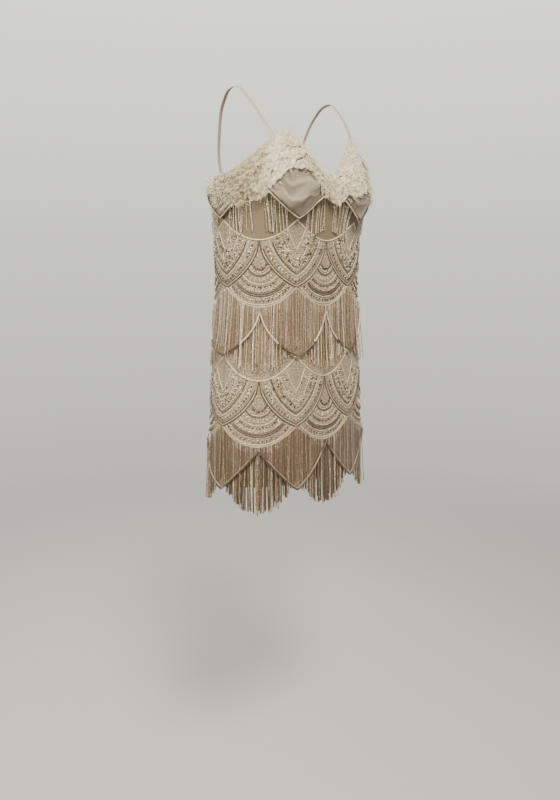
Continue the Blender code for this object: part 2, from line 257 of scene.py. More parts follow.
class Nodes:
    """A tree of shader nodes, with short ways to add to it."""

    def __init__(self, tree):
        self.tree = tree

    def fill(self, node, inputs):
        """Gives a node's inputs their values, or joins them to other nodes' outputs."""
        for socket, value in inputs.items():
            if isinstance(value, bpy.types.NodeSocket):
                self.tree.links.new(value, node.inputs[socket])
            else:
                node.inputs[socket].default_value = value

    def node(self, kind, inputs, **settings):
        made = self.tree.nodes.new("ShaderNode" + kind)
        for key, value in settings.items():
            setattr(made, key, value)
        self.fill(made, inputs)
        return made

    def ramp(self, value, low, high, start=0.0, end=1.0):
        """Spreads a value's range from low to high over that from start to end."""
        inputs = {"Value": value, "From Min": low, "From Max": high, "To Min": start, "To Max": end}
        return self.node("MapRange", inputs).outputs["Result"]

    def math(self, operation, first, second):
        return self.node("Math", {0: first, 1: second}, operation=operation).outputs["Value"]

    def coordinates(self, source="Object", scale=(1, 1, 1), turn=0.0):
        place = self.node("TexCoord", {}).outputs[source]
        inputs = {"Vector": place, "Scale": scale, "Rotation": (0, 0, turn)}
        return self.node("Mapping", inputs).outputs["Vector"]


class Finish(Nodes):
    """A material on one Principled shader, with a few short ways to add detail to it."""

    def __init__(self, name, colour, inputs):
        self.material = bpy.data.materials.new(name)
        self.material.use_nodes = True
        super().__init__(self.material.node_tree)
        self.shader = self.tree.nodes["Principled BSDF"]
        self.colour = (*colour, 1)
        self.fill(self.shader, {"Base Color": self.colour, **inputs})

    def set(self, socket, value):
        self.fill(self.shader, {socket: value})

    def before(self, socket):
        """What the shader's input is joined to so far, or None."""
        links = self.shader.inputs[socket].links
        return links[0].from_socket if links else None

    def attribute(self, name):
        return self.node("Attribute", {}, attribute_name=name).outputs["Fac"]

    def noise(self, size, detail=3.0, source="Object", stretch=(1, 1, 1)):
        """Uneven value from 0 to 1, with patches of about the given size in metres."""
        place = self.coordinates(source, tuple(s / size for s in stretch))
        inputs = {"Vector": place, "Scale": 1.0, "Detail": detail}
        return self.node("TexNoise", inputs).outputs["Fac"]

    def weave(self, size, turn=0.0):
        """Crossed threads of the given spacing, along the piece's own UV map."""
        step = math.pi / 10 / size * 2
        place = self.coordinates("UV", (step, step, step), turn)
        inputs = {"Vector": place, "Scale": 1.0, "Distortion": 0.6, "Detail Scale": 2.0}
        waves = [self.node("TexWave", inputs, bands_direction=way).outputs["Fac"] for way in "XY"]
        return self.math("MAXIMUM", *waves)

    def cells(self, size, feature):
        inputs = {"Vector": self.coordinates("UV", (size, size, size)), "Scale": 1.0}
        return self.node("TexVoronoi", inputs, feature=feature).outputs["Distance"]

    def sum(self, first, second):
        """Sum of two values, at most 1."""
        return self.math("MINIMUM", self.math("ADD", first, second), 1.0)

    def tint(self, value, other):
        """Turns the colour towards another where the value is 1."""
        colour = self.before("Base Color") or self.colour
        mixed = self.node("Mix", {0: value, 6: colour, 7: (*other, 1)}, data_type="RGBA")
        self.set("Base Color", mixed.outputs[2])

    def mottle(self, other, size, low, high, most=1.0, detail=2.0, stretch=(1, 1, 1)):
        """Turns patches of a size towards another colour."""
        noise = self.noise(size, detail, stretch=stretch)
        self.tint(self.ramp(noise, low, high, 0.0, most), other)

    def bump(self, value, depth, strength=1.0):
        """Relief of a depth in metres."""
        inputs = {"Strength": strength, "Distance": depth, "Height": value}
        if self.before("Normal"):
            inputs["Normal"] = self.before("Normal")
        self.set("Normal", self.node("Bump", inputs).outputs["Normal"])


DIAGONAL = math.radians(45)
NET_SHEEN = {"Sheen Weight": 0.3, "Sheen Roughness": 0.5}


def darker(colour, share):
    return tuple(part * share for part in colour)


def satin(name, colour, dark):
    made = Finish(name, colour, {"Roughness": 0.42, "Sheen Weight": 0.25, "Sheen Roughness": 0.4})
    made.tint(made.noise(0.035), dark)
    made.set("Roughness", made.ramp(made.noise(0.012), 0.3, 0.7, 0.36, 0.52))
    made.bump(made.weave(0.0007), 0.00006, 0.5)
    made.bump(made.noise(0.02, 2.0), 0.0012, 0.35)
    return made.material


def net_finish(name, colour, thread, shade, plain_alpha, mesh_alpha=0.34):
    """Fine net, closed up and mottled with light threads where it is embroidered over, and with
    dark specks there that are partly dark thread and partly painted shade between the stitches.
    """
    made = Finish(name, colour, {"Roughness": 0.62, **NET_SHEEN})
    stitching_and_painted_light = made.attribute("stitching_and_painted_light")
    light = made.ramp(made.noise(0.0026, 2.0, "UV"), 0.47, 0.60)
    # Dark specks in the shade colour: partly dark thread, partly painted shade between the
    # stitches.
    dark = made.ramp(made.noise(0.0034, 1.0, "UV", (1, 1.6, 1)), 0.36, 0.50, 1.0, 0.0)
    light, dark = (made.math("MULTIPLY", stitching_and_painted_light, threads) for threads in (light, dark))
    made.mottle(darker(colour, 0.84), 0.03, 0.3, 0.7, 0.5, 3.0)
    made.tint(light, thread)
    made.tint(dark, shade)
    mesh = made.weave(0.0011, DIAGONAL)
    open_net = made.math("ADD", made.ramp(mesh, 0.35, 0.8, 0.0, mesh_alpha), plain_alpha)
    made.set("Alpha", made.sum(open_net, stitching_and_painted_light))
    made.bump(mesh, 0.0001, 0.5)
    made.bump(light, 0.0007, 0.9)
    return made.material


def thread_finish(name, colour, dark, metallic=0.0):
    made = Finish(name, colour, {"Roughness": 0.45, "Metallic": metallic, "Sheen Weight": 0.2})
    made.mottle(dark, 0.0035, 0.4, 0.7)
    made.bump(made.noise(0.0012, 1.0), 0.0003, 0.6)
    return made.material


def bead_finish(name, colour, pale, dark, metallic, roughness, blush=None):
    coat = {"Metallic": metallic, "Coat Weight": 0.3, "Coat Roughness": 0.12}
    made = Finish(name, colour, coat)
    if blush:
        made.mottle(blush, 0.022, 0.42, 0.62, 0.75, stretch=(1, 1, 0.25))
    tone = made.attribute("tone")
    made.tint(made.ramp(tone, 0.55, 1.0), pale)
    made.tint(made.ramp(tone, 0.45, 0.0), dark)
    made.mottle(pale, 0.006, 0.55, 0.8, 0.5)
    uneven = made.ramp(made.noise(0.004, 1.0), 0.3, 0.7, roughness * 0.7, roughness * 1.5)
    made.set("Roughness", uneven)
    return made.material


def lace_finish(name, colour, shade, alpha):
    """Soft lace: small flowers on open net, with a painted highlight that makes it paler on its
    folds and rims, where it is also closer, over the shade colour.
    """
    sheen = {"Sheen Weight": 0.3, "Sheen Roughness": 0.6, "Specular IOR Level": 0.2}
    made = Finish(name, shade, {"Roughness": 0.9, **sheen})
    motif = made.ramp(made.cells(210, "SMOOTH_F1"), 0.30, 0.50, 1.0, 0.0)
    petals = made.ramp(made.cells(520, "DISTANCE_TO_EDGE"), 0.03, 0.12, 0.45, 1.0)
    flowers = made.math("MULTIPLY", motif, petals)
    # The highlight painted on folds and rims, from the piece's attribute, and the lace's own
    # flowers turn the shade colour towards the lace colour.
    ridge = made.sum(made.attribute("stitching_and_painted_light"), made.math("MULTIPLY", flowers, 0.3))
    made.mottle(darker(shade, 0.88), 0.018, 0.35, 0.65, 0.8)
    made.tint(ridge, colour)
    cover = made.ramp(flowers, 0.0, 1.0, alpha, alpha + 0.4)
    made.set("Alpha", made.sum(cover, made.math("MULTIPLY", ridge, 0.25)))
    made.bump(flowers, 0.0004, 0.6)
    return made.material


def tulle(name, colour, ridge_highlight_colour, alpha):
    """Plain fine net for the petals, paler where a crease doubles it, with a painted highlight on
    the crease ridges.
    """
    made = Finish(name, colour, {"Roughness": 0.7, "Specular IOR Level": 0.3, **NET_SHEEN})
    ridge = made.attribute("stitching_and_painted_light")
    made.mottle(darker(colour, 0.85), 0.025, 0.35, 0.65, 0.6)
    # Painted highlight on the crease ridges, from the ridge attribute.
    made.tint(ridge, ridge_highlight_colour)
    mesh = made.weave(0.0010, DIAGONAL)
    cover = made.ramp(mesh, 0.3, 0.8, alpha, alpha + 0.3)
    made.set("Alpha", made.sum(cover, made.math("MULTIPLY", ridge, 0.3)))
    made.bump(mesh, 0.0001, 0.5)
    made.bump(made.noise(0.009, 2.0, "UV", (1, 2.5, 1)), 0.0008, 0.5)
    return made.material


BLUSH_SATIN = satin("blush satin", (0.30, 0.22, 0.135), (0.25, 0.18, 0.105))
STRAP_SATIN = satin("strap satin", (0.60, 0.50, 0.40), (0.45, 0.36, 0.28))
NET = net_finish(
    "champagne net", (0.32, 0.24, 0.15), (0.80, 0.65, 0.47), (0.15, 0.10, 0.055), 0.36
)
# Petal net: the paler colour is the painted highlight on the crease ridges.
PETAL_NET = tulle("petal net", (0.27, 0.225, 0.16), (0.62, 0.54, 0.42), 0.45)
VEIL = net_finish(
    "veil net", (0.30, 0.197, 0.13), (0.62, 0.50, 0.37), (0.34, 0.24, 0.165), 0.07, 0.11
)
# Frill lace: ivory is the painted highlight on folds and rims, and the darker olive is painted
# shade in the troughs.
FRILL_LACE = lace_finish("frill lace", (1.0, 0.92, 0.71), (0.52, 0.43, 0.25), 0.20)
LIGHT_CORD = thread_finish("ivory corded thread", (0.86, 0.74, 0.55), (0.56, 0.43, 0.28))
DARK_CORD = thread_finish(
    "bronze corded thread", (0.075, 0.046, 0.026), (0.19, 0.125, 0.075), 0.2
)
STRAND_BEADS = bead_finish(
    "rose gold beads", (0.47, 0.35, 0.22), (0.98, 0.88, 0.70), (0.15, 0.10, 0.06), 0.6, 0.2,
    (0.43, 0.23, 0.14),
)
# Paler than the lower fringe's beads, partly as painted light for the upper fringe, which is lit
# more.
LIT_UPPER_BEADS = bead_finish(
    "champagne beads painted lighter", (0.80, 0.65, 0.46), (0.98, 0.90, 0.75), (0.24, 0.165, 0.10), 0.45, 0.22,
    (0.72, 0.49, 0.34),
)
# Made paler partly as painted light, against the shade that the petals and lace cast on the bust
# strands.
LIT_PALE_BEADS = bead_finish(
    "pale gold beads painted lighter", (0.86, 0.76, 0.58), (0.97, 0.94, 0.88), (0.56, 0.46, 0.32), 0.5, 0.24,
    (0.62, 0.50, 0.36),
)
# Paler partly as painted light for the lit upper fringe; the same thread makes the hem flaps' inner
# cords.
PALE_THREAD = thread_finish("champagne fringe thread", (0.50, 0.38, 0.27), (0.30, 0.21, 0.14))
FRINGE_THREAD = thread_finish(
    "bronze fringe thread", (0.11, 0.072, 0.043), (0.065, 0.042, 0.026), 0.1
)
PEARL_BEADS = bead_finish(
    "champagne seed beads", (0.82, 0.70, 0.53), (0.98, 0.93, 0.83), (0.45, 0.32, 0.21), 0.25, 0.18
)
DARK_BEADS = bead_finish(
    "bronze seed beads", (0.10, 0.064, 0.036), (0.30, 0.20, 0.12), (0.04, 0.027, 0.016), 0.4, 0.28
)
SEQUINS = bead_finish(
    "champagne sequins", (0.82, 0.70, 0.53), (0.98, 0.92, 0.80), (0.60, 0.46, 0.32), 0.4, 0.24
)
LACE = lace_finish("ivory lace", (0.92, 0.82, 0.62), (0.60, 0.50, 0.33), 0.6)
EYELASH = thread_finish("ivory lace thread", (0.98, 0.90, 0.72), (0.78, 0.68, 0.49))


# Making pieces


def deselect():
    bpy.ops.object.select_all(action="DESELECT")


def finish_piece(obj, name, material, replaced=()):
    """Names a piece, gives it its material, and sets it in the frame."""
    obj.name = name
    obj.data.name = name
    obj.data.materials.clear()
    obj.data.materials.append(material)
    obj.data.shade_smooth()
    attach(obj, "root")
    if replaced:
        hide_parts(*replaced)
    return obj


def modify(obj, kind, name, **settings):
    made = obj.modifiers.new(name, kind)
    for key, value in settings.items():
        setattr(made, key, value)


def apply_all(obj):
    deselect()
    bpy.context.view_layer.objects.active = obj
    obj.select_set(True)
    for modifier in list(obj.modifiers):
        bpy.ops.object.modifier_apply(modifier=modifier.name)


def numbers(collection, what):
    """A whole-number property of every item in a mesh's collection."""
    values = np.zeros(len(collection), int)
    collection.foreach_get(what, values)
    return values


def model_points(model):
    flat = np.zeros(len(model.data.vertices) * 3)
    model.data.vertices.foreach_get("co", flat)
    return flat.reshape(-1, 3)


def place_points(mesh, points):
    mesh.vertices.foreach_set("co", np.asarray(points, np.float32).ravel())
    mesh.update()


def lay_uv(mesh, places):
    """UV map from one place for each vertex."""
    corners = numbers(mesh.loops, "vertex_index")
    mesh.uv_layers.active.data.foreach_set("uv", places[corners].ravel())


def paint(mesh, name, values):
    attribute = mesh.attributes.new(name, "FLOAT", "POINT")
    attribute.data.foreach_set("value", np.asarray(values, np.float32).ravel())


def grid(columns, rows):
    """A flat grid, with the column and the row from the top of each of its vertices."""
    deselect()
    bpy.ops.mesh.primitive_grid_add(x_subdivisions=columns - 1, y_subdivisions=rows - 1, size=2)
    obj = bpy.context.object
    flat = model_points(obj)
    column = np.rint((flat[:, 0] + 1) / 2 * (columns - 1)).astype(int)
    row = np.rint((1 - flat[:, 1]) / 2 * (rows - 1)).astype(int)
    return obj, column, row


def cloth(name, u, heights, lifts, thickness, material, stitching_and_painted_light=None, replaced=()):
    """A sheet of cloth over places u by rows, from arrays of one value per place and row."""
    obj, *at = grid(*u.shape)
    at = tuple(at)
    mesh = obj.data
    place_points(mesh, on_dress(u, heights, lifts)[at])
    lay_uv(mesh, np.stack([u * COLUMN_WIDTH, heights], -1)[at])
    # The attribute holds how closely the net is embroidered, and on lace and petals their painted
    # highlights and shade.
    paint(mesh, "stitching_and_painted_light", np.zeros(len(at[0])) if stitching_and_painted_light is None else stitching_and_painted_light[at])
    area = sum(face.area for face in mesh.polygons)
    modify(obj, "SOLIDIFY", "wall", thickness=thickness, offset=1.0, use_even_offset=False)
    apply_all(obj)
    return finish_piece(obj, name, material, replaced), area


def tubes(name, lines, radius, sides, caps):
    """One mesh of round tubes along lines of points."""
    deselect()
    curve = bpy.data.curves.new(name, "CURVE")
    curve.dimensions = "3D"
    curve.bevel_depth = radius
    curve.bevel_resolution = sides
    curve.use_fill_caps = caps
    for line in lines:
        spline = curve.splines.new("POLY")
        spline.points.add(len(line) - 1)
        spline.points.foreach_set("co", np.c_[line, np.ones(len(line))].astype(np.float32).ravel())
    obj = bpy.data.objects.new(name, curve)
    bpy.context.collection.objects.link(obj)
    bpy.context.view_layer.objects.active = obj
    obj.select_set(True)
    bpy.ops.object.convert(target="MESH")
    return bpy.context.object


def corded(name, lines, radius, material, sides=1):
    """Raised cords along lines on the cloth."""
    cords = tubes(name, [line for line in lines if len(line) > 2], radius, sides, True)
    finish_piece(cords, name, material)


def copies(name, model, placed, tones, material, replaced=()):
    """One mesh of many copies of a small model, from each copy's own points."""
    count, corners = placed.shape[:2]
    loops = numbers(model.data.loops, "vertex_index")
    starts = numbers(model.data.polygons, "loop_start")
    steps = np.arange(count)[:, None]
    mesh = bpy.data.meshes.new(name)
    mesh.vertices.add(count * corners)
    mesh.loops.add(count * len(loops))
    mesh.polygons.add(count * len(starts))
    mesh.vertices.foreach_set("co", placed.astype(np.float32).ravel())
    mesh.loops.foreach_set("vertex_index", (loops + steps * corners).ravel())
    mesh.polygons.foreach_set("loop_start", (starts + steps * len(loops)).ravel())
    mesh.update(calc_edges=True)
    mesh.validate()
    paint(mesh, "tone", tones if np.ndim(tones) == 2 else np.repeat(tones, corners))
    mesh.uv_layers.new(name="UVMap")
    lay_uv(mesh, placed.reshape(-1, 3)[:, [0, 2]])
    obj = bpy.data.objects.new(name, mesh)
    bpy.context.collection.objects.link(obj)
    return finish_piece(obj, name, material, replaced)


def discard(model):
    bpy.data.objects.remove(model)


def bead_model(radius, height):
    """One round bead, threaded along Z."""
    deselect()
    bpy.ops.mesh.primitive_uv_sphere_add(segments=5, ring_count=3, radius=radius)
    bead = bpy.context.object
    bead.data.transform(Matrix.Diagonal((1, 1, height / 2 / radius, 1)))
    return bead


def bugle_model(radius, length):
    """A short tube bead that lies along Y."""
    deselect()
    bpy.ops.mesh.primitive_cylinder_add(vertices=6, radius=radius, depth=length)
    bugle = bpy.context.object
    bugle.data.transform(Matrix.Rotation(math.radians(-90), 4, "X"))
    return bugle


def sequin_model(radius):
    """A flat cupped sequin that faces +Z."""
    deselect()
    bpy.ops.mesh.primitive_circle_add(vertices=6, radius=radius, fill_type="NGON")
    sequin = bpy.context.object
    bpy.ops.object.mode_set(mode="EDIT")
    bpy.ops.mesh.select_all(action="SELECT")
    bpy.ops.mesh.inset(thickness=radius * 0.45, depth=0.0)
    bpy.ops.transform.translate(value=(0, 0, -radius * 0.22))
    bpy.ops.object.mode_set(mode="OBJECT")
    modify(sequin, "SOLIDIFY", "wall", thickness=0.0003)
    apply_all(sequin)
    return sequin


def strand_model(beads, radius, step):
    """A string of cut beads with five sides that hangs from the origin down -Z."""
    deselect()
    bpy.ops.mesh.primitive_circle_add(vertices=5, radius=radius * 1.08, fill_type="TRIFAN")
    strand = bpy.context.object
    for vertex in strand.data.vertices:
        if vertex.co.length < radius / 2:
            vertex.co.z = step * 1.3 / 2
    modify(strand, "MIRROR", "other half", use_axis=(False, False, True), merge_threshold=0.00001)
    apply_all(strand)
    strand.data.transform(Matrix.Translation((0, 0, -step / 2)))
    modify(
        strand, "ARRAY", "string", count=beads, use_relative_offset=False, use_constant_offset=True,
        constant_offset_displace=(0, 0, -step),
    )
    apply_all(strand)
    return strand


def curled_thread_model(length, radius, curl):
    """A fine thread that starts at the origin and curls along +Y and up +Z."""
    steps = np.linspace(0, 1, 6)
    aside = curl * np.sin(steps * 4.2) * length
    points = np.stack([aside, length * steps * (1 - 0.35 * steps), 0.35 * length * steps**2], -1)
    return tubes("curled thread", [points], radius, 0, False)


def set_on_cloth(name, model, u, heights, lift, material, turn=None, tilt=None, size=None):
    """Sets copies of a small model on the cloth, its Z out of the dress and its Y up it."""
    count = len(u)
    around, up, out = directions(u, heights)
    centre = on_dress(u, heights, lift)
    turn = rng.uniform(0, math.tau, count) if turn is None else turn
    tilt = np.zeros(count) if tilt is None else tilt
    size = rng.uniform(0.88, 1.12, count) if size is None else size
    side = around * np.cos(turn)[:, None] + up * np.sin(turn)[:, None]
    ahead = up * np.cos(turn)[:, None] - around * np.sin(turn)[:, None]
    lean = ahead * np.cos(tilt)[:, None] + out * np.sin(tilt)[:, None]
    face = out * np.cos(tilt)[:, None] - ahead * np.sin(tilt)[:, None]
    axes = np.stack([side, lean, face], 1) * size[:, None, None]
    placed = centre[:, None, :] + np.einsum("vk,nkj->nvj", model_points(model), axes)
    copies(name, model, placed, rng.uniform(0, 1, count), material)


# Slip and net

PANELS = (("front", -3.0), ("back", 3.0))
PANEL_CUT = 0.42
SLIP_LENGTH, NET_LENGTH = 0.60, 0.64
TURNED_HEM = 0.013
BARE_TOP = -0.3
TONGUE_FOOT, TONGUE_TOP = 0.064, 0.125


def cloth_rows(places, edges, counts):
    """Places and heights of rows down a cloth, in even steps between the edges given."""
    rows = []
    for above, below, count in zip(edges, edges[1:], counts):
        shares = np.linspace(0, 1, count, endpoint=False)
        rows += [above + (below - above) * share for share in shares]
    rows.append(edges[-1])
    return np.repeat(places[:, None], len(rows), 1), np.stack(rows, -1)


def panel_places(start, end, per_column, gap=0.0003):
    inset = gap / 2 / COLUMN_WIDTH
    places = np.linspace(start, end, round((end - start) * per_column) + 1)
    places[0] += inset
    places[-1] -= inset
    return places


def make_slip():
    """Plain slip in two panels, with a narrow turned hem."""
    for side, start in PANELS:
        places = panel_places(start, start + 6.0, 12)
        top = neckline(places)
        hem_line = np.full_like(places, SLIP_HEM)
        fold = hem_line + TURNED_HEM
        u, heights = cloth_rows(places, [top, (top + fold) / 2, fold, hem_line], [26, 28, 7])
        turned = np.clip((SLIP_HEM + TURNED_HEM + 0.0005 - heights) / 0.001, 0, 1)
        pinch = np.exp(-(((heights - SLIP_HEM - TURNED_HEM + 0.0005) / 0.0012) ** 2))
        lifts = drape(u, heights) * 0.8 + 0.0004 * turned - 0.0003 * pinch
        piece, area = cloth(
            "slip_" + side, u, heights, lifts, SLIP_THICKNESS, BLUSH_SATIN,
            replaced=("lining_" + side,),
        )


def tongue_width(points, height):
    """Half the width of the plain tongue that opens upwards in the middle of a pointed scallop."""
    return np.clip(height - points.lowest - TONGUE_FOOT, 0, 0.05) ** 0.8 * 0.26


def stitched_share(u, height):
    """How closely the net is worked over: two embroidered bands, closest along their borders."""
    below_bust = height < BARE_TOP
    foot = below_bust & (height < round_edge(UPPER_SWAG, u) + 0.030)
    share = np.where(foot, 0.5, np.where(below_bust, 0.12, 0.0))
    for band in BANDS:
        inner = pointed_edge(band.points, u)
        inside = (height < round_edge(band.above, u)) & (height > round_edge(band.fans, u))
        pointed = inside & (height > inner)
        border = pointed & (height - inner < 0.016 + 0.02 * from_odd(u) ** 3)
        aside = np.abs(u - (np.rint((u - 1) / 2) * 2 + 1)) * COLUMN_WIDTH
        tongue = pointed & (aside < tongue_width(band.points, height))
        across = (u - np.rint(u / 2) * 2) * COLUMN_WIDTH
        radius = np.hypot(across, height - band.fans.lowest - FAN_RADIUS)
        ring = 0.5 + 0.5 * np.cos(math.tau * (FAN_RADIUS - 0.009 - radius) / 0.019)
        share = np.where(pointed, 0.75, share)
        share = np.where(border, 0.42, share)
        share = np.where(tongue, 0.6, share)
        share = np.where(inside & (height <= inner), 0.45 + 0.45 * ring, share)
    return share


def make_net():
    """Embroidered net in two panels, which flares a little at its scalloped hem."""
    made = []
    for side, start in PANELS:
        places = panel_places(start, start + 6.0, 18)
        rows = (BUST_SWAG, UPPER_FANS, UPPER_SWAG, LOWER_FANS)
        edges = [neckline(places) + 0.001, *(round_edge(row, places) for row in rows)]
        edges.append(hem_edge(HEM_FLAPS, places))
        u, heights = cloth_rows(places, edges, [20, 34, 20, 34, 14])
        stitching_and_painted_light = stitched_share(u, heights)
        loose = np.clip((-heights - 0.60) / 0.09, 0, 1)
        flare = 0.0016 * loose * (0.6 + 0.4 * np.cos(math.pi * (u - 1)))
        lifts = NET_LIFT + drape(u, heights) + 0.0006 * stitching_and_painted_light + flare
        made.append(cloth(
            f"net_{side}_cloth", u, heights, lifts, NET_THICKNESS, NET, stitching_and_painted_light,
            replaced=("net_" + side,),
        ))
    return made


# Embroidery


def seen_parts(u, heights, seen):
    """The stretches of a line that show, apart from scraps of a few points."""
    runs = np.flatnonzero(np.diff(np.r_[0, seen.astype(int), 0]))
    pairs = zip(runs[::2], runs[1::2])
    return [(u[start:end], heights[start:end]) for start, end in pairs if end - start > 4]


def round_lines(row):
    """One line for each round scallop of a row."""
    share = np.linspace(-1, 1, 41)
    return [(column + share, round_edge(row, column + share)) for column in ROUND_COLUMNS]


def pointed_lines(band, inset):
    """One line inside each pointed scallop of a band, cut off where the swag above hides it."""
    lines = []
    share = np.linspace(-1, 1, 41)
    for column in POINTED_COLUMNS:
        u = column + share * (1 - inset / COLUMN_WIDTH * 0.92)
        heights = pointed_edge(band.points, column + share) + inset * 1.25
        lines += seen_parts(u, heights, heights < round_edge(band.above, u) + 0.0012)
    return lines


def on_arc(band, column, radius, angle):
    """Places on an arc about the middle of a round scallop."""
    u = column + radius * np.sin(angle) / COLUMN_WIDTH
    return u, band.fans.lowest + FAN_RADIUS - radius * np.cos(angle)


def fan_arcs(band, radius):
    """Arcs of one radius in every round scallop, cut off where the pointed ones hide them."""
    lines = []
    angle = np.linspace(-1.45, 1.45, 41)
    for column in ROUND_COLUMNS:
        u, heights = on_arc(band, column, radius, angle)
        below_points = heights < pointed_edge(band.points, u) - 0.001
        lines += seen_parts(u, heights, below_points & (heights > round_edge(band.fans, u) + 0.001))
    return lines


def tongue_lines(band):
    """The two edges of the plain tongue in every pointed scallop."""
    lines = []
    low = band.points.lowest
    heights = np.linspace(low + TONGUE_FOOT, low + TONGUE_TOP, 21)
    for column in POINTED_COLUMNS:
        for side in (-1, 1):
            u = column + side * tongue_width(band.points, heights) / COLUMN_WIDTH
            seen = heights < round_edge(band.above, u)
            lines.append((u[seen], heights[seen]))
    return lines


def spaced(lines, step):
    """Places at even steps along lines, for beads."""
    all_u, all_heights = [], []
    for u, heights in lines:
        lengths = lengths_along(np.stack([u * COLUMN_WIDTH, heights], -1))
        at = np.arange(step / 2, lengths[-1], step)
        all_u.append(np.interp(at, lengths, u))
        all_heights.append(np.interp(at, lengths, heights))
    return np.concatenate(all_u), np.concatenate(all_heights)


# Cords of a band: how far inside the pointed edges they run, and the radii of their arcs.
DARK_LINES = (0.0, 0.0034, 0.0185), (0.0575, 0.0540, 0.0230)
FINE_LINES = (0.0018, 0.0150, 0.0330), (0.0720, 0.0375, 0.0200)
LIGHT_RADIUS, DARK_RADIUS, FINE_RADIUS = 0.0012, 0.00115, 0.0008

# Rows of beads in a band: the kinds that are set on the line, the line, its inset or radius, and
# the step from bead to bead.
BEAD_ROWS = (
    (("sequins", "bronze_beads"), pointed_lines, 0.0088, 0.0072),
    (("pearls",), pointed_lines, 0.0225, 0.0040),
    (("sequins", "bronze_beads"), pointed_lines, 0.0275, 0.0085),
    (("pearls",), pointed_lines, 0.0375, 0.0045),
    (("sequins", "bronze_beads"), fan_arcs, 0.0655, 0.0072),
    (("pearls",), fan_arcs, 0.0605, 0.0036),
    (("sequins",), fan_arcs, 0.0465, 0.0062),
    (("bronze_beads",), fan_arcs, 0.0420, 0.0052),
    (("pearls",), fan_arcs, 0.0500, 0.0034),
    (("pearls",), fan_arcs, 0.0165, 0.0030),
    (("bronze_beads",), fan_arcs, 0.0120, 0.0040),
)
FLOWER_COUNT, FLOWER_RADIUS = 11, 0.0036
LOOSE_PEARLS, LOOSE_BRONZE = 34, 30
RIB_RADIUS = 0.0305


def make_cords():
    """Corded lines of the net: bronze along the pointed scallops and ivory along the round ones."""
    light, dark, fine = round_lines(BUST_SWAG) + round_lines(UPPER_SWAG), [], []
    for band in BANDS:
        light += round_lines(band.fans)
        for lines, (insets, radii) in ((dark, DARK_LINES), (fine, FINE_LINES)):
            for inset in insets:
                lines += pointed_lines(band, inset)
            for radius in radii:
                lines += fan_arcs(band, radius)
        fine += tongue_lines(band)
    for name, lines, radius, material in (
        ("light_cords", light, LIGHT_RADIUS, LIGHT_CORD),
        ("dark_cords", dark, DARK_RADIUS, DARK_CORD),
        ("fine_cords", fine, FINE_RADIUS, LIGHT_CORD),
    ):
        lines = [on_dress(u, heights, STITCH_LIFT + drape(u, heights)) for u, heights in lines]
        corded(name, lines, radius, material)


def scattered(band, count, spread, low, high, border):
    """Random places inside one pointed scallop after another, clear of its border and tongue."""
    for column in POINTED_COLUMNS:
        u = column + rng.uniform(-spread, spread, count)
        heights = rng.uniform(band.points.lowest + low, band.points.cusp + high, count)
        aside = np.abs(u - column)
        seen = aside * COLUMN_WIDTH > tongue_width(band.points, heights) + 0.002
        seen &= heights < round_edge(band.above, u) - 0.004
        seen &= heights > pointed_edge(band.points, u) + border + 0.02 * aside
        yield u[seen], heights[seen]


def join_places(groups):
    return [np.concatenate(parts) for parts in zip(*groups)]


def flowers(band):
    """Places of small flowers of six sequins inside each pointed scallop, and of their middles."""
    discs, middles = [], []
    for u, heights in scattered(band, FLOWER_COUNT, 0.6, 0.034, 0.020, 0.032):
        angle = rng.uniform(0, 1, len(u))[:, None] + np.arange(6) * math.tau / 6
        around = u[:, None] + FLOWER_RADIUS * np.cos(angle) / COLUMN_WIDTH
        up = heights[:, None] + FLOWER_RADIUS * np.sin(angle)
        discs.append((around.ravel(), up.ravel()))
        middles.append((u, heights))
    return join_places(discs), join_places(middles)


def loose_beads(band, count):
    """A loose cluster of beads inside each pointed scallop."""
    return join_places(scattered(band, count, 0.7, 0.030, 0.025, 0.026))


def shell_ribs(band):
    """Bugle beads that spread like the ribs of a shell in the middle of every round scallop."""
    ribs = []
    angle = np.linspace(-1.15, 1.15, 11)
    for column in ROUND_COLUMNS:
        u, heights = on_arc(band, column, RIB_RADIUS, angle)
        seen = heights < pointed_edge(band.points, u) - 0.004
        ribs.append((u[seen], heights[seen], angle[seen]))
    return join_places(ribs)


def make_beadwork():
    """Seed beads, bugle beads and sequins in rows along the corded lines of the bands."""
    kinds = (
        ("pearls", bead_model(0.00140, 0.0024), PEARL_BEADS, 0.0012),
        ("bronze_beads", bead_model(0.00185, 0.0026), DARK_BEADS, 0.0014),
        ("sequins", sequin_model(0.0031), SEQUINS, 0.0006),
    )
    bugle = bugle_model(0.0009, 0.0064)
    for band in BANDS:
        places = {kind[0]: [] for kind in kinds}
        for row_kinds, lines, inset, step in BEAD_ROWS:
            row = spaced(lines(band, inset), step)
            for kind in row_kinds:
                places[kind].append(row)
        discs, middles = flowers(band)
        places["sequins"].append(discs)
        places["bronze_beads"].append(middles)
        places["pearls"].append(loose_beads(band, LOOSE_PEARLS))
        places["bronze_beads"].append(loose_beads(band, LOOSE_BRONZE))
        for kind, model, material, lift in kinds:
            u, heights = join_places(places[kind])
            u = u + rng.normal(0, 0.006, len(u))
            heights = heights + rng.normal(0, 0.0004, len(u))
            set_on_cloth(
                f"{kind}_{band.name}", model, u, heights, STITCH_LIFT + lift + drape(u, heights),
                material, tilt=rng.normal(0, 0.2, len(u)),
            )
        u, heights, turn = shell_ribs(band)
        set_on_cloth(
            f"bugle_beads_{band.name}", bugle, u, heights, STITCH_LIFT + 0.0008 + drape(u, heights),
            PEARL_BEADS, turn=turn,
        )
    for model in (bugle, *(kind[1] for kind in kinds)):
        discard(model)


# Petals and flaps: one hangs in each pointed column, from column 1 on.

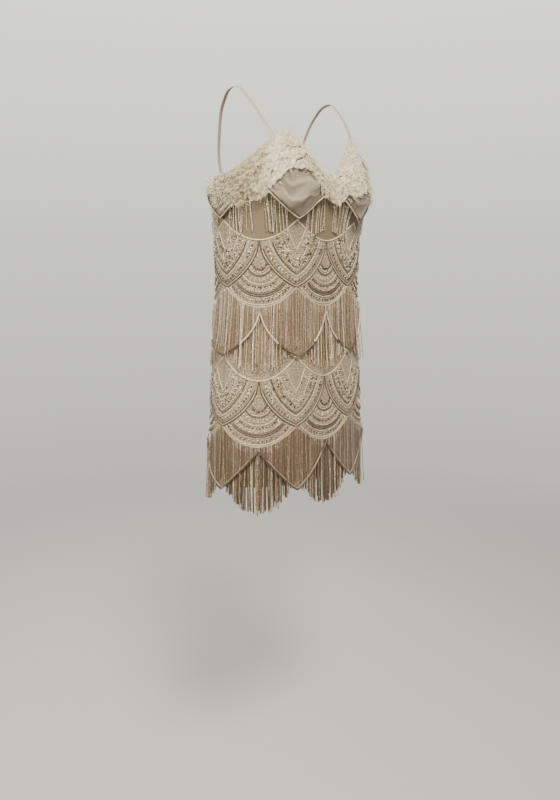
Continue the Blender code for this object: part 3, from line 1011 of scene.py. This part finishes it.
POINTED = ("front_left", "side_left", "back_left", "back_right", "side_right", "front_right")
EDGINGS = ("lace_edging", "lace_edging_left")
PETAL_HALF, FLAP_HALF = 0.86, 0.985
PETAL_TOP, PETAL_TIP, PETAL_RISE = -0.118, -0.217, 0.051
PETAL_FILL, FLAP_FILL = 0.80, 0.70


def folds(phase):
    """Uneven creases from -1 to 1: narrow ridges with wide troughs between them."""
    return 2 * (0.5 + 0.5 * np.sin(phase + 0.6 * np.sin(phase * 0.7))) ** 3 - 0.8


def hung_sheet(piece, area, half, fill, carriers):
    """Turns what holds a loose scallop of net into a list, and does nothing more with it."""
    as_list(carriers)


def make_petals():
    """Loose net petals over the bust, each with a corded edge and soft creases."""
    outlines, inner_lines = [], []
    for index, (column, name) in enumerate(zip(POINTED_COLUMNS, POINTED)):
        places = np.linspace(column - PETAL_HALF, column + PETAL_HALF, 65)
        share = np.abs(places - column) / PETAL_HALF
        top = np.minimum(PETAL_TOP, neckline(places) - 0.010)
        bottom = np.minimum(PETAL_TIP + PETAL_RISE * share**1.15, top - 0.006)
        u, heights = cloth_rows(places, [top, bottom], [44])
        down = np.clip((top[:, None] - heights) / (top - bottom)[:, None], 0, 1)
        middle = 1 - share[:, None] ** 2
        bend = 1.6 * soft_noise(u, heights, 61, 3.0)
        first = folds(5.0 * (u - column) + 9.0 * down + index * 1.7 + bend)
        second = folds(3.0 * (u - column) + 21.0 * down + index + 2.4 * bend)
        relief = 0.4 if abs(wrap(column)) > 2 else 1.0
        crumple = 0.0016 * first + 0.0009 * second * middle
        lifts = 0.0048 + 0.0026 * np.clip(down * 4, 0, 1) + 0.0020 * down
        lifts = lifts + relief * crumple * np.clip(down * 1.6, 0, 1)
        # Painted highlight on the crests of the creases, where the net also doubles, and a paler
        # tone towards the petal's top.
        ridge = 0.40 * np.clip(first, 0, 1) ** 2 + 0.35 * np.clip(second, 0, 1) ** 4 * middle
        ridge = ridge + 0.30 * (1.0 - down)
        piece, area = cloth(
            "net_petal_" + name, u, heights, lifts, NET_THICKNESS, PETAL_NET,
            np.clip(ridge, 0, 1), ("petal_" + name,),
        )
        bare = np.flatnonzero(bottom < lace_foot(places) + 0.003)
        rim = slice(max(bare[0], 2), min(bare[-1], len(places) - 3) + 1)
        outlines.append(on_dress(places[rim], bottom[rim], lifts[rim, -1] + 0.0008))
        inner_lines.append(on_dress(places[rim], bottom[rim] + 0.0030, lifts[rim, -3] + 0.0008))
        at_back = abs(wrap(column)) > 4
        carrier = "lace_edging_back" if at_back else EDGINGS[int(wrap(column) > 0)]
        hung_sheet(piece, area, PETAL_HALF, PETAL_FILL, [carrier])
    corded("petal_cords", outlines, 0.0011, LIGHT_CORD)
    corded("petal_inner_cords", inner_lines, 0.0017, DARK_CORD)


def make_flaps():
    """Loose pointed net scallops that hang over the strands of both long fringes."""
    light, dark, inner = [], [], []
    for tier, above, row, edge_at in (
        ("upper", UPPER_FANS, UPPER_FLAPS, pointed_edge), ("hem", LOWER_FANS, HEM_FLAPS, hem_edge),
    ):
        for index, (column, name) in enumerate(zip(POINTED_COLUMNS, POINTED)):
            places = np.linspace(column - FLAP_HALF, column + FLAP_HALF, 41)
            top = round_edge(above, places) + 0.002
            bottom = np.minimum(edge_at(row, places), top - 0.004)
            u, heights = cloth_rows(places, [top, bottom], [16])
            down = (top[:, None] - heights) / (top - bottom)[:, None]
            share = np.abs(u - column) / FLAP_HALF
            crease = 0.0010 * folds(5.5 * (u - column) + 2.5 * down + 1.9 * index) * down
            lifts = 0.0034 + 0.0034 * np.clip(down * 5, 0, 1) + 0.0016 * down * (1 - share**2)
            lifts = lifts + crease
            piece, area = cloth(
                f"net_flap_{tier}_{name}", u, heights, lifts + drape(u, heights), NET_THICKNESS,
                VEIL,
            )
            net = ["net_front_cloth", "net_back_cloth"]
            below = {1: net[:1], 3: net, 5: net[1:]}[abs(wrap(column))]
            hung_sheet(piece, area, FLAP_HALF, FLAP_FILL, below)
            edge = on_dress(places, bottom, lifts[:, -1] + drape(places, bottom) + 0.0004)
            if tier == "hem":
                dark.append(edge)
                inset = slice(4, len(places) - 4)
                inside = places[inset], bottom[inset] + 0.0034
                inner.append(on_dress(*inside, lifts[inset, -2] + drape(*inside) + 0.0006))
            else:
                middle = len(places) // 2
                dark.append(edge[middle - 11 : middle + 12])
                light += [edge[: middle - 10], edge[middle + 11 :]]
    corded("flap_cords_dark", dark, 0.0018, DARK_CORD)
    corded("flap_cords_light", light, 0.0014, LIGHT_CORD)
    corded("flap_cords_inner", inner, 0.0008, PALE_THREAD)


# Lace

LACE_RIM = 0.005
FRILL_FOLDS = (0.0120, 0.0165, 0.0140, 0.0190, 0.0150)
BACK_FRILLS = 2
LACE_FRONT = 3.3


def lace_lift(u, height):
    """Lift of the frills off the slip: low at the neckline, and over the petals below it."""
    most = np.where(np.abs(wrap(u)) < LACE_FRONT, 0.0048, 0.0020)
    return 0.0050 + most * np.clip((neckline(u) - height) / 0.030, 0, 1)


def make_lace():
    """Lace edging on the neckline, with frills and fine threads that stand off it."""
    for name, start, end in (("right", -3.0, 0.0), ("left", 0.0, 3.0), ("back", 3.0, 9.0)):
        places = panel_places(start, end, 30, 0.0012)
        top = neckline(places) + 0.0045 + 0.0016 * np.cos(places * math.tau * 9)
        bottom = neckline(places) - 0.026 + 0.003 * np.cos(places * math.tau * 6)
        u, heights = cloth_rows(places, [top, bottom], [6])
        piece, area = cloth(
            "lace_edging" if name == "right" else "lace_edging_" + name, u, heights,
            0.0034 + 0.0004 * np.cos(u * math.tau * 6), 0.0005, LACE,
            replaced=("edging_" + name,),
        )
    for panel, start, end in (
        ("right", -LACE_FRONT, 0.0), ("left", 0.0, LACE_FRONT), ("back", LACE_FRONT, 8.7)
    ):
        make_frills(panel, start, end)
    make_eyelashes()


def make_frills(panel, start, end):
    """Gathered lace frills from the neckline down over the petals, one under another."""
    places = np.linspace(start, end, round((end - start) * COLUMN_WIDTH / 0.0015))
    rim = neckline(places) + LACE_RIM
    at_back = panel == "back"
    depth = np.full(len(places), 0.026) if at_back else rim - lace_foot(places)
    steps = BACK_FRILLS if at_back else len(FRILL_FOLDS)
    for tier, fold in enumerate(FRILL_FOLDS[:steps]):
        seed = 31 + tier * 3
        phase = places * COLUMN_WIDTH / fold * math.tau + tier * 2.1
        phase = phase + 4.5 * soft_noise(places, -0.1, seed, 5.0)
        gather = 0.60 + 0.9 * soft_noise(places, -0.1, seed + 1, 6.0)
        shift = 0.0080 * soft_noise(places, -0.1, seed + 2, 9.0) * min(tier, 1)
        top = rim - depth * tier / steps * 0.92 + shift
        wave = (0.7 * np.sin(phase) + 0.3 * np.sin(phase * 2.7 + tier))[:, None] * gather[:, None]
        reach = (1.34 / steps) * (1 + 0.45 * soft_noise(places, -0.1, seed + 1, 11.0))
        teeth = np.abs(np.sin(places * COLUMN_WIDTH / 0.0032 * math.pi)) * 0.0012
        bottom = top - depth * reach - teeth
        u, heights = cloth_rows(places, [top, bottom], [7])
        down = np.linspace(0, 1, heights.shape[1])[None, :]
        aside = 0.0020 * np.cos(phase)[:, None] * down**1.5
        lifts = down**0.7 * (0.0020 + 0.0022 * wave) + 0.0006 * down**4 + lace_lift(u, heights)
        # Painted light: a highlight on the fold crests, paler lower down each frill and on its rim,
        # with the troughs left in the shade colour; towards the wearer's right side the frills are
        # painted in shade.
        ridge = np.clip(0.58 + 0.30 * wave, 0, 1) * (0.6 + 0.4 * down) + 0.30
        ridge = ridge + 0.30 * np.clip((down - 0.8) / 0.2, 0, 1)
        ridge = ridge - 1.30 * np.clip((-1.6 - u) * 1.2, 0, 1)
        piece, area = cloth(
            f"lace_frill_{panel}_{tier + 1}", u + aside / COLUMN_WIDTH, heights, lifts, 0.0003,
            FRILL_LACE, np.clip(ridge, 0, 1),
        )


def make_eyelashes():
    """Fine curled threads that make the frills' rims soft."""
    tiers = len(FRILL_FOLDS)
    for index, (length, curl) in enumerate(((0.0066, 0.22), (0.0052, -0.30), (0.0088, 0.12))):
        thread = curled_thread_model(length, 0.00024, curl)
        u = rng.uniform(-6, 6, 1300)
        front = np.abs(wrap(u)) < LACE_FRONT
        keep = front | (rng.uniform(0, 1, len(u)) < 0.5)
        u, front = u[keep], front[keep]
        top = neckline(u) + LACE_RIM
        depth = np.where(front, top - lace_foot(u), 0.022)
        tier = rng.integers(0, tiers + 1, len(u))
        heights = top - depth * tier / tiers + rng.normal(0, 0.0035, len(u))
        upward = (tier == 0) | (rng.uniform(0, 1, len(u)) < 0.25)
        turn = rng.normal(0, 0.9, len(u)) + np.where(upward, 0.0, math.pi)
        lift = lace_lift(u, heights) + rng.uniform(0.0015, 0.0045, len(u))
        set_on_cloth(
            f"lace_eyelashes_{index + 1}", thread, u, heights, lift, EYELASH,
            turn=turn, tilt=rng.uniform(-0.1, 0.7, len(u)), size=rng.uniform(0.7, 1.3, len(u)),
        )
        discard(thread)


# Straps: their way over the shoulder, and the places where they are sewn on.

STRAP_POINTS = (
    (0.1060, -0.0440, -0.0540), (0.1110, -0.0140, -0.0180), (0.1125, 0.0080, -0.0010),
    (0.1125, 0.0280, -0.0030), (0.1100, 0.0500, -0.0220), (0.1020, 0.0730, -0.0700),
    (0.0950, 0.0830, -0.1180),
)
STRAP_FRONT, STRAP_BACK, STRAP_SEWN, STRAP_LIFT = 1.66, 4.72, 0.013, -0.0018
STRAP_HALF_WIDTH, STRAP_THICKNESS, STRAP_ROLL, STRAP_TURN = 0.0034, 0.0012, 0.0003, 0.060
STRAP_STEPS = 120


def strap_frame():
    """The strap's length so far, its middle, and the ways across it and out of it, at each step."""
    front_top, back_top = float(neckline(STRAP_FRONT)), float(neckline(STRAP_BACK))
    path = np.array([
        on_dress(STRAP_FRONT, front_top - STRAP_SEWN, STRAP_LIFT),
        on_dress(STRAP_FRONT, front_top, STRAP_LIFT),
        *STRAP_POINTS,
        on_dress(STRAP_BACK, back_top, STRAP_LIFT),
        on_dress(STRAP_BACK, back_top - STRAP_SEWN, STRAP_LIFT),
    ])
    lengths = lengths_along(path)
    at = np.linspace(0, lengths[-1], STRAP_STEPS + 1)
    centre = np.stack([smooth(at, lengths, values) for values in path.T], -1)
    ahead = unit(np.gradient(centre, axis=0))
    level = 1 - np.abs(ahead[:, 2])
    free = np.stack([np.ones(len(at)), np.zeros(len(at)), -0.36 * level], -1)
    from_end = np.minimum(at, lengths[-1] - at) - STRAP_SEWN
    turned = np.clip(from_end / STRAP_TURN, 0, 1)[:, None]
    in_front = (np.arange(len(at)) < STRAP_STEPS / 2)[:, None]
    edges = directions(STRAP_FRONT, front_top)[0], -directions(STRAP_BACK, back_top)[0]
    across = np.where(in_front, *edges) * (1 - turned) + free * turned
    across = unit(across - ahead * np.sum(across * ahead, axis=1, keepdims=True))
    return at, centre, across, np.cross(across, ahead)


def make_straps():
    """Two flat satin straps with rolled edges."""
    at, centre, across, out = strap_frame()
    for name, side in (("left", 1), ("right", -1)):
        strap, column, row = grid(7, STRAP_STEPS + 1)
        share = np.linspace(-1, 1, 7)[column]
        step = STRAP_STEPS - row
        aside = share * STRAP_HALF_WIDTH
        roll = -STRAP_ROLL * np.abs(share) ** 4
        points = centre[step] + across[step] * aside[:, None] + out[step] * roll[:, None]
        points[:, 0] *= side
        place_points(strap.data, points)
        lay_uv(strap.data, np.stack([aside, at[step]], -1))
        if side < 0:
            strap.data.flip_normals()
        modify(strap, "SOLIDIFY", "wall", thickness=STRAP_THICKNESS, offset=0.0)
        modify(strap, "BEVEL", "soft edge", width=0.0004, segments=2, limit_method="ANGLE")
        apply_all(strap)
        finish_piece(strap, "satin_strap_" + name, STRAP_SATIN, ("strap_" + name,))


# Fringe: beads to a strand, the share of the length left in the pointed columns, how widely the
# locks part, and the bare threads to a column.

Fringe = namedtuple("Fringe", "name fans beads pointed_share splay material threads thread radius")
FRINGES = (
    Fringe("upper", UPPER_FANS, 52, 0.90, 1.0, LIT_UPPER_BEADS, 20, PALE_THREAD, 0.0008),
    Fringe("lower", LOWER_FANS, 57, 0.79, 0.0, STRAND_BEADS, 60, FRINGE_THREAD, 0.0012),
)
STRAND_RADIUS, STRAND_STEP = 0.0011, 0.00215
STRANDS_PER_COLUMN = 19
LONG_RISE, BUST_RISE = 0.0030, 0.0012
BUST_BEADS = 29
BUST_PLACES = np.array([0.18, 0.22, 0.26, 0.37, 0.41, 0.45, 0.56, 0.61, 0.68, 0.75])


def locks(u, seed, size):
    """Uneven sideways lean by place, so that neighbouring strands gather into locks and part."""
    local = np.random.default_rng(seed)
    lean = np.zeros_like(u)
    for turns, share in ((31, 1.0), (53, 0.8), (83, 0.5)):
        lean += share * np.sin(u / COLUMNS * math.tau * turns + local.uniform(0, math.tau))
    return size * lean


def hang_strands(name, model, u, heights, length, material, replaced, rise, spread, splay=0.0):
    """Copies of a strand, bent down the dress from their roots, each bead with its own tone."""
    count = len(u)
    long_fringe = rise == LONG_RISE
    stretch = (length * rng.normal(1.0, 0.018, count)).clip(0.60, 1.02)
    sway, sway_start = rng.normal(0, 0.0013, count), rng.uniform(0, math.tau, count)
    lean = locks(u, 17, 0.0019) * (1 + splay) + rng.normal(0, spread, count)
    ahead = np.where(rng.uniform(0, 1, count) < 0.12, 1.0, 0.0) * long_fringe
    tip_lift = STITCH_LIFT + 0.0014 + rise * rng.uniform(0.1, 1.0, count) + 0.0068 * ahead
    root_lift = (STITCH_LIFT + 0.0012 + 0.0030 * ahead)[:, None]
    points = model_points(model)
    down = np.clip(points[:, 2] / points[:, 2].min(), 0, 1)
    swing = np.sin(down * math.pi * 1.3 + sway_start[:, None]) * down
    drift = lean[:, None] * down + sway[:, None] * swing
    places = u[:, None] + drift / COLUMN_WIDTH + points[:, 0] / COLUMN_WIDTH
    lift = root_lift + (tip_lift[:, None] - root_lift) * down**1.5 + points[:, 1]
    placed = on_dress(places, heights[:, None] + points[:, 2] * stretch[:, None], lift)
    own = rng.normal(0.47, 0.22, count) + locks(u, 23, 0.10 + 0.10 * splay)
    # About one strand in eleven is painted pale, as a painted glint.
    own = own + 0.5 * (rng.uniform(0, 1, count) < 0.09)
    bead = np.floor(-points[:, 2] / STRAND_STEP + 0.001).astype(int)
    number = np.arange(bead.max() + 1)
    bright_root = 0.45 * (number < 6) * (from_even(u) < 0.55)[:, None] * long_fringe
    turns = (0.17 - 0.12 * splay) * (-1.0) ** number
    each = (rng.normal(0, 0.15, (count, len(number))) + turns + bright_root)[:, bead]
    tones = np.clip(own[:, None] + each, 0, 1)
    copies(name, model, placed, tones, material, replaced)


def hang_threads(fringe):
    """Bare twisted threads that hang between the beaded strands."""
    count = COLUMNS * fringe.threads
    u = (np.arange(count) + 0.5) / fringe.threads - 6 + rng.normal(0, 0.02, count)
    down = np.linspace(0, 1, 5)
    longest = fringe.beads * STRAND_STEP
    length = longest * (1 - (1 - fringe.pointed_share) * from_even(u) ** 2)
    length = length * rng.uniform(0.90, 1.0, count)
    lean = locks(u, 17, 0.0019) + rng.normal(0, 0.0015, count)
    places = u[:, None] + lean[:, None] * down / COLUMN_WIDTH
    heights = round_edge(fringe.fans, u)[:, None] - length[:, None] * down
    lines = on_dress(places, heights, STITCH_LIFT + 0.0006 + 0.0012 * down)
    name = "fringe_threads_" + fringe.name
    corded(name, list(lines), fringe.radius, fringe.thread, sides=0)


def make_fringes():
    """Strands of small beads at the bust and under each embroidered band."""
    for fringe in FRINGES:
        strand = strand_model(fringe.beads, STRAND_RADIUS, STRAND_STEP)
        for side, start in PANELS:
            count = 6 * STRANDS_PER_COLUMN
            u = start + (np.arange(count) + 0.5) / STRANDS_PER_COLUMN
            u = u + rng.normal(0, 0.014, count)
            hang_strands(
                f"strands_{fringe.name}_{side}", strand, u, round_edge(fringe.fans, u) + 0.0006,
                1 - (1 - fringe.pointed_share) * from_even(u) ** 2, fringe.material,
                ("fringe_" + fringe.name,) if side == "front" else (), LONG_RISE, 0.0011,
                fringe.splay,
            )
        discard(strand)
        hang_threads(fringe)
    strand = strand_model(BUST_BEADS, STRAND_RADIUS, STRAND_STEP)
    u = np.ravel([column + side * BUST_PLACES for column in ROUND_COLUMNS for side in (-1, 1)])
    u = u + rng.normal(0, 0.010, len(u))
    heights = -0.176 - 0.020 * from_even(u) ** 1.5
    hang_strands(
        "strands_bust", strand, u, heights, 1.0, LIT_PALE_BEADS, ("fringe_bust",), BUST_RISE, 0.0006
    )
    discard(strand)


# Floor, lights and camera

FLOOR_HEIGHT = -1.40
LIGHT_AIM = Vector((0, 0, -0.38))
LAMPS = (
    ("key", (-0.70, -1.45, 1.60), 0.7, 98, (1.0, 0.94, 0.79)),
    ("fill", (-1.9, -0.2, 0.5), 1.2, 32, (1.0, 0.96, 0.84)),
    ("back", (0.5, 1.9, 1.0), 1.2, 66, (1.0, 0.96, 0.85)),
)


def make_stage():
    """Pale floor that fades into the studio's wall, and three soft lamps."""
    deselect()
    bpy.ops.mesh.primitive_circle_add(vertices=96, radius=2.6, fill_type="NGON")
    floor = bpy.context.object
    floor.data.transform(Matrix.Translation((0, 0, FLOOR_HEIGHT)))
    floor.name = "floor"
    pale = Finish("pale floor", (0.56, 0.55, 0.53), {"Roughness": 0.85})
    pale.mottle((0.52, 0.51, 0.49), 0.6, 0.3, 0.7, 0.3, 3.0)
    away = pale.node("VectorMath", {0: pale.coordinates("Object", (1, 1, 0))}, operation="LENGTH")
    pale.set("Alpha", pale.ramp(away.outputs["Value"], 0.9, 2.5, 1.0, 0.0))
    floor.data.materials.append(pale.material)
    make_world()
    for name, place, size, power, tint in LAMPS:
        light = bpy.data.lights.new(name, "AREA")
        light.size = size
        light.energy = power
        light.color = tint
        lamp = bpy.data.objects.new(name, light)
        bpy.context.collection.objects.link(lamp)
        lamp.location = place
        lamp.rotation_euler = (LIGHT_AIM - Vector(place)).to_track_quat("-Z", "Y").to_euler()


def make_world():
    """Pale wall colour that the camera sees, with painted light that leaves it darker below and
    brightest above, and a dimmer even light from all round.
    """
    world = bpy.data.worlds.new("studio")
    world.use_nodes = True
    studio = Nodes(world.node_tree)
    way = studio.node("TexCoord", {}).outputs["Generated"]
    rise = studio.node("SeparateXYZ", {"Vector": way}).outputs["Z"]
    # Painted light on the wall the camera sees: darker at the foot, brightest above.
    painted_wall_light = studio.node("ValToRGB", {"Fac": studio.ramp(rise, -0.5, 0.3)})
    low, high = painted_wall_light.color_ramp.elements
    low.color = (0.34, 0.333, 0.302, 1)
    high.color = (1.0, 0.99, 0.90, 1)
    painted_wall_light.color_ramp.elements.new(0.68).color = (0.68, 0.675, 0.61, 1)
    wall = world.node_tree.nodes["Background"]
    studio.fill(wall, {"Strength": 1.5, "Color": painted_wall_light.outputs["Color"]})
    around = studio.node("Background", {"Color": (0.98, 0.96, 0.89, 1), "Strength": 0.33})
    seen = studio.node("LightPath", {}).outputs["Is Camera Ray"]
    both = studio.node("MixShader", {"Fac": seen, 1: around.outputs[0], 2: wall.outputs[0]})
    studio.fill(world.node_tree.nodes["World Output"], {"Surface": both.outputs[0]})
    bpy.context.scene.world = world


def make_camera():
    camera = bpy.data.objects.new("camera", bpy.data.cameras.new("camera"))
    bpy.context.collection.objects.link(camera)
    camera.data.lens = LENS
    camera.data.sensor_width = SENSOR
    camera.data.clip_start = 0.05
    across = Vector((math.cos(TURN), -math.sin(TURN), 0))
    back = Vector((-math.sin(TURN), -math.cos(TURN), 0))
    camera.location = back * DISTANCE - across * SIDE_SHIFT + Vector((0, 0, EYE_HEIGHT))
    camera.rotation_euler = (math.pi / 2 - PITCH, 0, -TURN)
    bpy.context.scene.camera = camera


make_camera()
make_stage()
make_slip()
net = make_net()
make_cords()
make_beadwork()
make_petals()
make_flaps()
make_lace()
make_straps()
make_fringes()
for piece, area in net:
    slip = "slip_front" if "front" in piece.name else "slip_back"
    min(area, PANEL_CUT * NET_LENGTH)
